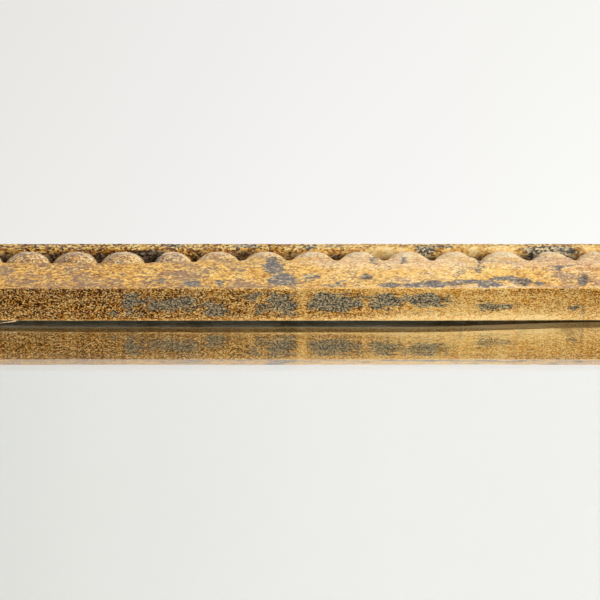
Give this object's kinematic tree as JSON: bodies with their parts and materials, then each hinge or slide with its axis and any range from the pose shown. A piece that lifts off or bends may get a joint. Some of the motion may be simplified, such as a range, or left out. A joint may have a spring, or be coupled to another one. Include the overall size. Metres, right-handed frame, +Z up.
{
  "type": "pier mirror",
  "caption": "Tall wall mirror in a mitred, worn giltwood frame with a beaded moulding, a boarded back and iron hanging rings.",
  "frame": {"origin": "centre of the wall plane, on which the backs of the four rails bear", "axes": "+X to the right seen from the room, +Y out of the back into the wall, +Z up"},
  "size_m": [0.71, 0.0532, 1.55],
  "materials": {
    "gilded_pine": "worn water gilding over bole and gesso",
    "plate_glass": "polished",
    "silvering": "silvered, painted behind",
    "aged_pine": "sawn and planed, bare, darkened with age",
    "aged_oak": "planed, bare",
    "wrought_iron": "forged, rusted brown"
  },
  "bodies": {
    "frame": {"top_rail": "gilded_pine", "bottom_rail": "gilded_pine", "left_stile": "gilded_pine", "right_stile": "gilded_pine", "sight_moulding_top": "gilded_pine", "sight_moulding_bottom": "gilded_pine", "sight_moulding_left": "gilded_pine", "sight_moulding_right": "gilded_pine", "bead_strip_top": "gilded_pine", "bead_strip_bottom": "gilded_pine", "bead_strip_left": "gilded_pine", "bead_strip_right": "gilded_pine", "corner_keys": "aged_oak", "mirror_glass": "plate_glass", "silvering": "silvering", "setting_blocks": "aged_oak", "glazing_blocks": "aged_pine", "backboard_1": "aged_pine", "backboard_2": "aged_pine", "backboard_3": "aged_pine", "backboard_4": "aged_pine", "hanging_rail": "aged_oak", "middle_batten": "aged_oak", "lower_batten": "aged_oak", "board_nails": "wrought_iron", "batten_screws": "wrought_iron", "hanger_plate_left": "wrought_iron", "hanger_plate_right": "wrought_iron", "hanger_screws": "wrought_iron"},
    "ring_left": {"hanging_ring_left": "wrought_iron"},
    "ring_right": {"hanging_ring_right": "wrought_iron"}
  },
  "joints": [
    {"name": "ring_left_swing", "type": "hinge", "parent": "frame", "child": "ring_left", "pos_m": [-0.25275, -0.00405, 0.48987], "axis": [1, 0, 0], "range_deg": [0, 180]},
    {"name": "ring_right_swing", "type": "hinge", "parent": "frame", "child": "ring_right", "pos_m": [0.25275, -0.00405, 0.48987], "axis": [1, 0, 0], "range_deg": [0, 180]}
  ]
}
